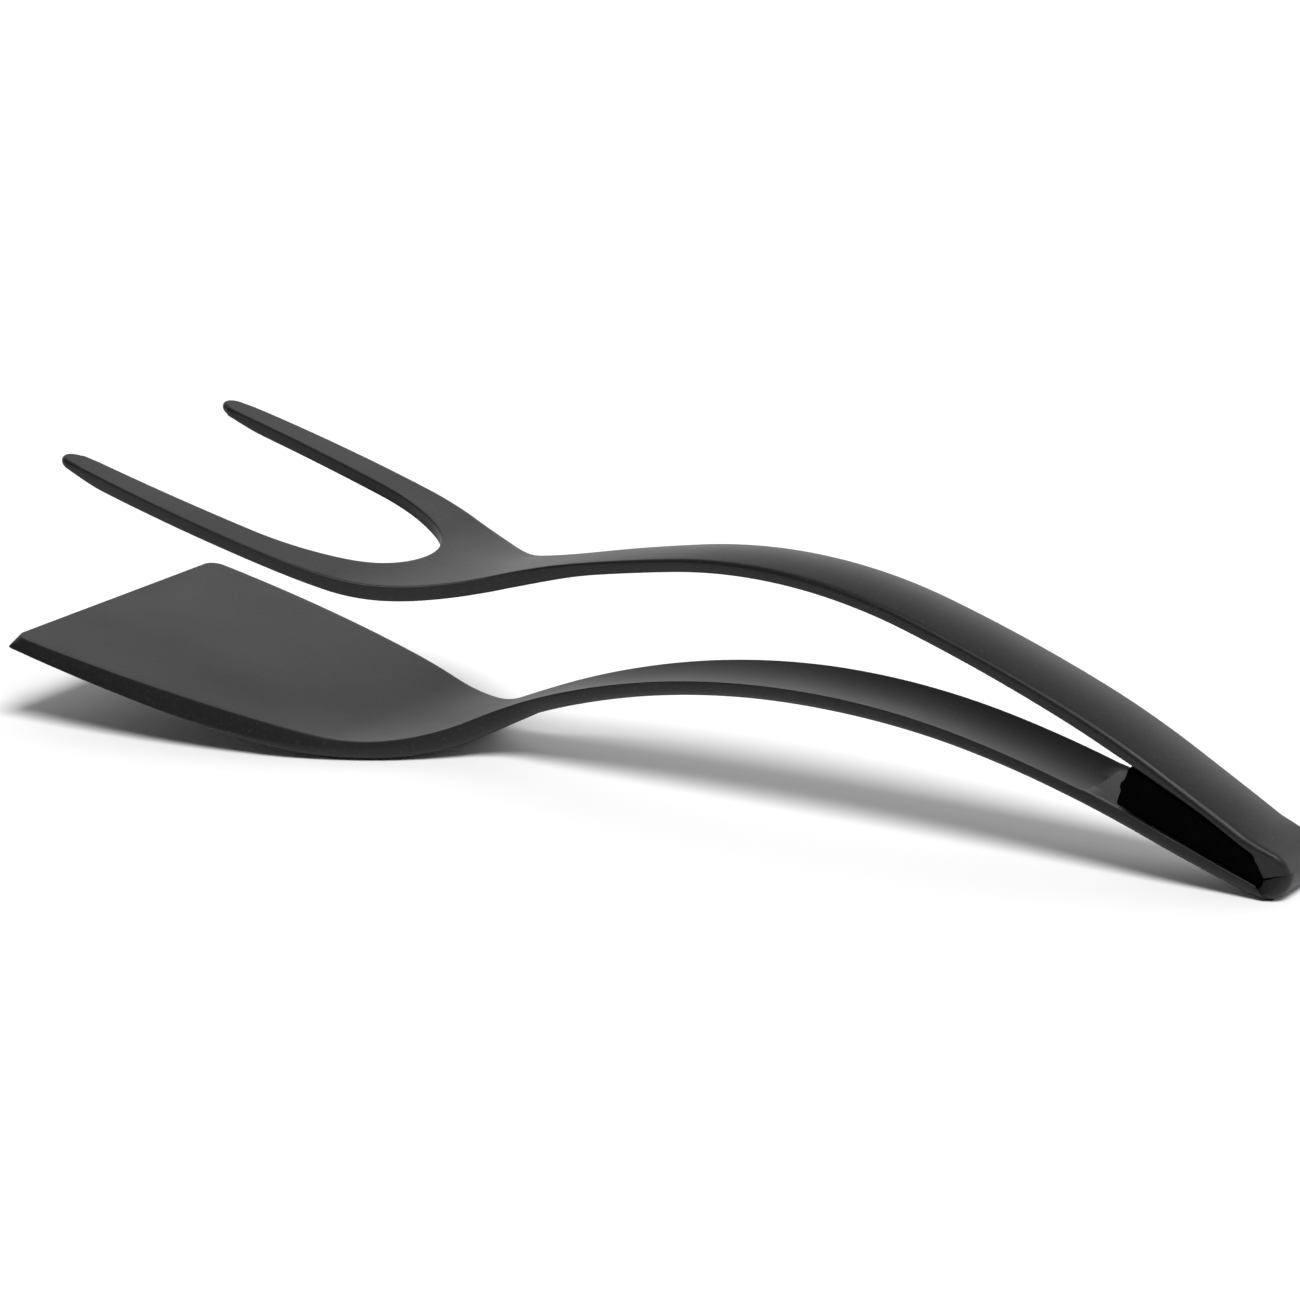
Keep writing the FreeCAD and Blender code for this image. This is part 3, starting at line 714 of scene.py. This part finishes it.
def blade_corner_edges(outline):
    """The front corner, sharper at the underside than at the bevel's top, then the side to the tail."""
    low = (BLADE_FRONT + BLADE_CORNER, HALF_BLADE - BLADE_CORNER)
    high = (BLADE_FRONT + FRONT_BEVEL + TOP_CORNER, HALF_BLADE - SIDE_BEVEL - TOP_CORNER)
    edges = []
    for number in range(CORNER_STEPS + 1):
        angle = math.pi - math.pi / 2 * number / CORNER_STEPS
        edges.append(Edge(*on_circle(low, BLADE_CORNER, angle), (math.cos(angle), math.sin(angle)),
                          on_circle(high, TOP_CORNER, angle)))
    stations = spaced(low[0], BLADE_ROWS_END, BLADE_ROW_STEP)[1:] + tail_stations(BLADE_ROWS_END)
    for x in stations:
        edge = Edge.on_line(outline, x, spatula_bevel(x), square_from=SQUARE_START)
        shift = (high[0] - low[0]) * (1 - smooth(x, low[0], low[0] + CORNER_FADE))
        edge.top_spot = (edge.top_spot[0] + shift, edge.top_spot[1])
        edges.append(edge)
    return edges, low, high


def build_spatula(material):
    outline = spatula_outline()
    arm = SpatulaArm(spatula_top_line(), SPATULA_HEEL_END, SPATULA_NECK)
    edges, low, high = blade_corner_edges(outline)

    def half_at(x):
        return outline.at(max(low[0], min(x, TAIL_X)))[0]

    def rim_at(edge):
        x = edge.spot[0]
        return rim_rows(arm, edge, half_at(x), SPATULA_TOP_RADIUS, spatula_under_radius(x))

    side = [rim_at(edge) for edge in edges]
    front = []
    for share in spaced(-1.0, 1.0, 2.0 / FRONT_COLUMNS):
        front.append(rim_at(Edge(BLADE_FRONT, low[1] * share, (-1.0, 0.0),
                                 (BLADE_FRONT + FRONT_BEVEL, high[1] * share))))
    sheets = Sheets()
    sheets.grid(side)
    sheets.grid(side, mirrored=True)
    sheets.grid(front)
    for level, depth in ((0, 0.0), (-1, 1.0)):
        rows = [[points[level] for points in front]]
        for edge, points in list(zip(edges, side))[1:]:
            last = points[level]
            first = Vector((last.x, -last.y, last.z))
            x = last.x if edge.spot[0] < SQUARE_START else edge.spot[0]
            rows.append(across_row(arm, x, x, first, last, half_at, depth, FRONT_COLUMNS))
        sheets.grid(rows)
    lips = side[-1]
    sheets.grid([[Vector((point.x, mix(-point.y, point.y, column / FRONT_COLUMNS), point.z))
                  for column in range(FRONT_COLUMNS + 1)] for point in lips])
    return sheets.finish("spatula_moulding", material)


spatula = build_spatula(NYLON)
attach(spatula, "spatula")
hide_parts("spatula_arm")


# ---- fork arm ----

TIP_STEPS = 8
TINE_ROWS = 72
PALM_ROWS = 26
HALF_COLUMNS = 16
PALM_START = -51.0
PALM_SQUARE_START = -40.0
PALM_END = -16.0
OUTLINE_SAMPLES = 400

TIP_EXTRA = 0.6
TIP_FALL = (TINE_FRONT + 2.0, TINE_FRONT + 9.0)
TINE_TOP_RADIUS = 0.4
CREST_TOP_RADIUS = 0.85
CREST_ROUNDING = (-60.0, 40.0)
ROOF_EXTRA = 0.2
ROOF_ROUNDING = (90.0, 125.0)
END_TOP_RADIUS = 1.3
TINE_UNDER_RADIUS = 0.6
PALM_UNDER_RADIUS = 1.1
PALM_ROUNDING = (-70.0, -30.0)
ROOF_SHARPENING = (TAIL_X - 10.0, TAIL_X)


def fork_top_radius(x):
    tip = TIP_EXTRA * (1 - smooth(x, *TIP_FALL))
    arm = mix(TINE_TOP_RADIUS, CREST_TOP_RADIUS, smooth(x, *CREST_ROUNDING))
    return towards_tail(x, tip + arm + ROOF_EXTRA * smooth(x, *ROOF_ROUNDING), END_TOP_RADIUS)


def fork_under_radius(x):
    """Halved at the roof of the slot."""
    radius = mix(TINE_UNDER_RADIUS, PALM_UNDER_RADIUS, smooth(x, *PALM_ROUNDING))
    return mix(radius, radius / 2, smooth(x, *ROOF_SHARPENING))


def evenly(line, x_start, x_end, side, count):
    """Edges spread evenly along a plan line; side is 1 for an outer line and -1 for an inner one."""
    turns = [math.pi / 2 * number / OUTLINE_SAMPLES for number in range(OUTLINE_SAMPLES + 1)]
    xs = [mix(x_start, x_end, math.sin(turn)) for turn in turns]
    spots = [(x, line.at(x)[0]) for x in xs]
    reach = [0.0]
    for first, second in zip(spots, spots[1:]):
        reach.append(reach[-1] + math.dist(first, second))
    edges = []
    index = 0
    for number in range(count + 1):
        goal = reach[-1] * number / count
        while index < OUTLINE_SAMPLES - 1 and reach[index + 1] < goal:
            index += 1
        share = (goal - reach[index]) / (reach[index + 1] - reach[index])
        edges.append(Edge.on_line(line, mix(xs[index], xs[index + 1], share), side=side))
    return edges


def tip_edges(side):
    """A quarter of a tine's round tip, from its foremost point to its side."""
    centre = (TINE_TIP + TINE_TIP_RADIUS, TINE_TIP_Y)
    edges = []
    for number in range(TIP_STEPS):
        angle = math.pi / 2 * number / TIP_STEPS
        normal = (-math.cos(angle), side * math.sin(angle))
        edges.append(Edge(centre[0] + TINE_TIP_RADIUS * normal[0],
                          centre[1] + TINE_TIP_RADIUS * normal[1], normal))
    return edges


def build_fork(material):
    arm = ForkArm(fork_top_line(), FORK_HEEL_END, FORK_NECK)
    outline = fork_outline()
    gap = crotch_outline()
    crotch_x = gap.x
    outer = tip_edges(1) + evenly(outline, outline.steps[0][0], PALM_START, 1, TINE_ROWS)
    inner = tip_edges(-1) + evenly(gap, gap.steps[0][0], crotch_x, -1, TINE_ROWS)
    inner[-1] = Edge(crotch_x, 0.0, (-1.0, 0.0))
    middle_x = []
    for number in range(1, PALM_ROWS + 1):
        share = number / PALM_ROWS
        x = mix(PALM_START, PALM_END, share)
        edge = Edge.on_line(outline, x)
        heading = math.atan2(-edge.normal[0], edge.normal[1]) * (1 - smooth(x, PALM_SQUARE_START, PALM_END))
        edge.normal = (-math.sin(heading), math.cos(heading))
        outer.append(edge)
        middle_x.append(mix(crotch_x, PALM_END, share))
    stations = tail_stations(PALM_END)
    outer += [Edge.on_line(outline, x, square_from=PALM_END) for x in stations]
    middle_x += stations

    def half_at(x):
        return outline.at(max(outline.steps[0][0], min(x, TAIL_X)))[0]

    def rim_at(edge):
        x = edge.spot[0]
        return rim_rows(arm, edge, half_at(x), fork_top_radius(x), fork_under_radius(x))

    outer_rim = [rim_at(edge) for edge in outer]
    inner_rim = [rim_at(edge) for edge in inner]
    faces = []
    for level, depth in ((0, 0.0), (-1, 1.0)):
        rows = []
        crotch_inset = inner_rim[-1][level].x - crotch_x
        for number, points in enumerate(outer_rim):
            last = points[level]
            if number < len(inner):
                first = inner_rim[number][level]
                rows.append(across_row(arm, first.x, last.x, first, last, half_at, depth, HALF_COLUMNS))
                continue
            place = number - len(inner)
            first_x = middle_x[place] + crotch_inset * max(0.0, 1 - (place + 1) / PALM_ROWS)
            first = arm.point(first_x, 0.0, half_at(first_x), depth)
            last_x = last.x if place + 1 < PALM_ROWS else outer[number].spot[0]
            rows.append(across_row(arm, first_x, last_x, first, last, half_at, depth, HALF_COLUMNS))
        faces.append(rows)
    seam = [[Vector((point.x, point.y * column / HALF_COLUMNS, point.z))
             for column in range(HALF_COLUMNS + 1)] for point in outer_rim[-1]]
    sheets = Sheets()
    for mirrored in (False, True):
        for rows in (outer_rim, inner_rim, faces[0], faces[1], seam):
            sheets.grid(rows, mirrored)
    return sheets.finish("fork_moulding", material)


fork = build_fork(NYLON)
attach(fork, "fork")
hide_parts("fork_arm")


# ---- spring block ----

BLOCK_GAP = 0.3
BLOCK_FRONT_LOW = BLADE_FRONT + 262.3
BLOCK_FRONT_HIGH = BLADE_FRONT + 265.2
BLOCK_BACK = SLOT_X - BLOCK_GAP
BLOCK_FRONT_HALF = HALF_END - 0.1
BLOCK_BACK_HALF = HALF_END - 0.5
BLOCK_EDGE = 0.6
BLOCK_ROWS = 40
BLOCK_LAYERS = 14
CORNER_PINCH = 0.29
TOOTH_DEPTH = 0.55
TOOTH_RISE = (0.36, 0.46)
TOOTH_FALL = (0.54, 0.66)
TOOTH_FADE = (0, 0.04)
# How far each ring near the block's ends stands in, by its share of the way from front to back.
END_INSETS = {0.0: BLOCK_EDGE, 0.004: 0.3, 0.012: 0.1, 0.988: 0.1, 0.996: 0.3, 1.0: BLOCK_EDGE}


def build_spring(material):
    """A wedge between the arms, with rounded edges and a small tooth across its front."""
    floor = spatula_top_line()
    roof = fork_top_line()
    fork_arm = ForkArm(roof, FORK_HEEL_END, FORK_NECK)

    def floor_at(share):
        x = mix(BLOCK_FRONT_LOW, BLOCK_BACK, share)
        z, heading = floor.at(x)
        return x - BLOCK_GAP * math.sin(heading), z + BLOCK_GAP * math.cos(heading)

    def roof_at(share):
        x = mix(BLOCK_FRONT_HIGH, BLOCK_BACK, share)
        z, heading = roof.at(x)
        drop = (fork_arm.thickness(x) + BLOCK_GAP) / math.cos(heading)
        return x, z - drop

    def spot(share, layer, y):
        low = floor_at(share)
        high = roof_at(share)
        tooth = TOOTH_DEPTH * smooth(layer, *TOOTH_RISE) * (1 - smooth(layer, *TOOTH_FALL))
        tooth *= 1 - smooth(share, *TOOTH_FADE)
        return Vector((mix(low[0], high[0], layer) - tooth, y, mix(low[1], high[1], layer)))

    def loop(share, inset):
        """A ring round the block, as layers up one side, over the roof, down and back along the floor."""
        deep = math.dist(floor_at(share), roof_at(share))
        margin = inset / deep
        reach = mix(BLOCK_FRONT_HALF, BLOCK_BACK_HALF, share) - inset
        corner = BLOCK_EDGE / deep
        ring = []
        for turn in range(4):
            for number in range(BLOCK_LAYERS):
                part = number / BLOCK_LAYERS
                if turn == 0:
                    y, layer = reach, part
                elif turn == 1:
                    y, layer = mix(reach, -reach, part), 1.0
                elif turn == 2:
                    y, layer = -reach, 1 - part
                else:
                    y, layer = mix(-reach, reach, part), 0.0
                over = max(0.0, abs(y) - (reach - BLOCK_EDGE)) / BLOCK_EDGE
                beyond = max(0.0, abs(layer - 0.5) - (0.5 - corner)) / corner
                pinch = 1 - CORNER_PINCH * min(over, beyond)
                if over:
                    y = math.copysign(reach - BLOCK_EDGE + BLOCK_EDGE * over * pinch, y)
                if beyond:
                    off_middle = 0.5 - corner + corner * beyond * pinch
                    layer = 0.5 + math.copysign(off_middle, layer - 0.5)
                ring.append(spot(share, mix(margin, 1 - margin, layer), y))
        return ring + [ring[0]]

    shares = sorted(list(END_INSETS) + spaced(0.02, 0.98, 0.96 / BLOCK_ROWS))
    rings = [loop(share, END_INSETS.get(share, 0.0)) for share in shares]
    sheets = Sheets()
    sheets.grid(rings)
    for share in (0.0, 1.0):
        ring = loop(share, BLOCK_EDGE)
        count = BLOCK_LAYERS
        right = ring[0:count + 1]
        left = list(reversed(ring[2 * count:3 * count + 1]))
        rows = []
        for near, far in zip(right, left):
            rows.append([near + (far - near) * (column / count) for column in range(count + 1)])
        rows[0] = list(reversed(ring[3 * count:4 * count + 1]))
        rows[-1] = ring[count:2 * count + 1]
        sheets.grid(rows)
    return sheets.finish("spring_block", material)


# The block is a real part, but its near-black colour is painted shade for the deep hollow between the arms
# at the tail.
spring = build_spring(RUBBER_AND_PAINTED_SHADE)
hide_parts("tail_spring")
blend_x = BLADE_FRONT + 278.5
floor_point = Vector((blend_x, 0.0, spatula_top_line().at(blend_x)[0] + BLOCK_GAP))
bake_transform(spring)


# ---- stage: floor, light and camera ----

FLOOR_HALF_METRES = 6.0
FLOOR_COLOUR = (0.96, 0.96, 0.97, 1.0)
SUN_DIRECTION = (-0.45, 0.38, -1.0)
SUN_STRENGTH = 3.0
SUN_SPREAD = math.radians(28.0)


def build_floor():
    mesh = bmesh.new()
    bmesh.ops.create_grid(mesh, x_segments=1, y_segments=1, size=FLOOR_HALF_METRES)
    data = bpy.data.meshes.new("floor")
    mesh.to_mesh(data)
    mesh.free()
    material, _, _, shader = principled("floor")
    shader.inputs["Base Color"].default_value = FLOOR_COLOUR
    shader.inputs["Roughness"].default_value = 0.9
    shader.inputs["Specular IOR Level"].default_value = 0.0
    data.materials.append(material)
    floor = bpy.data.objects.new("floor", data)
    bpy.context.scene.collection.objects.link(floor)


def aim(obj, direction):
    obj.rotation_euler = Vector(direction).to_track_quat("-Z", "Y").to_euler()


def build_sun():
    key = bpy.data.lights.new("key", "SUN")
    key.energy = SUN_STRENGTH
    key.angle = SUN_SPREAD
    lamp = bpy.data.objects.new("key", key)
    bpy.context.scene.collection.objects.link(lamp)
    aim(lamp, SUN_DIRECTION)


def build_sky():
    """A studio sky: bright behind the object and near the horizon, dim in front and overhead."""
    world = bpy.data.worlds.new("studio")
    bpy.context.scene.world = world
    world.use_nodes = True
    nodes, links = world.node_tree.nodes, world.node_tree.links
    sky = nodes["Background"]
    place = nodes.new("ShaderNodeTexCoord")
    split = nodes.new("ShaderNodeSeparateXYZ")
    links.new(place.outputs["Generated"], split.inputs["Vector"])
    back = world_range(nodes, links, split.outputs["Y"], source=(-0.5, 0.7), result=(0.07, 1.5))
    high = world_range(nodes, links, split.outputs["Z"], source=(0.2, 0.9), result=(1.0, 0.25))
    product = nodes.new("ShaderNodeMath")
    product.operation = "MULTIPLY"
    links.new(back, product.inputs[0])
    links.new(high, product.inputs[1])
    links.new(product.outputs["Value"], sky.inputs["Strength"])
    sky.inputs["Color"].default_value = (1.0, 1.0, 1.0, 1.0)


def world_range(nodes, links, value, source, result):
    """A smooth step of the sky's strength between two values of a direction."""
    node = nodes.new("ShaderNodeMapRange")
    node.interpolation_type = "SMOOTHSTEP"
    node.inputs["From Min"].default_value, node.inputs["From Max"].default_value = source
    node.inputs["To Min"].default_value, node.inputs["To Max"].default_value = result
    links.new(value, node.inputs["Value"])
    return node.outputs["Result"]


def build_camera():
    """The view from 31 degrees round and 16 degrees up."""
    azimuth = math.radians(31.0)
    elevation = math.radians(16.0)
    distance = 1086.96
    target = Vector((-5.0, 0.0, 28.7))
    forward = Vector((-math.sin(azimuth) * math.cos(elevation), math.cos(azimuth) * math.cos(elevation),
                      -math.sin(elevation)))
    data = bpy.data.cameras.new("camera")
    data.lens = 138.46
    data.sensor_width = 36.0
    data.clip_start = 0.01
    camera = bpy.data.objects.new("camera", data)
    bpy.context.scene.collection.objects.link(camera)
    camera.location = (target - forward * distance) * MM
    aim(camera, forward)
    bpy.context.scene.camera = camera


build_floor()
build_sun()
build_sky()
build_camera()
bpy.context.scene.view_settings.view_transform = "Standard"
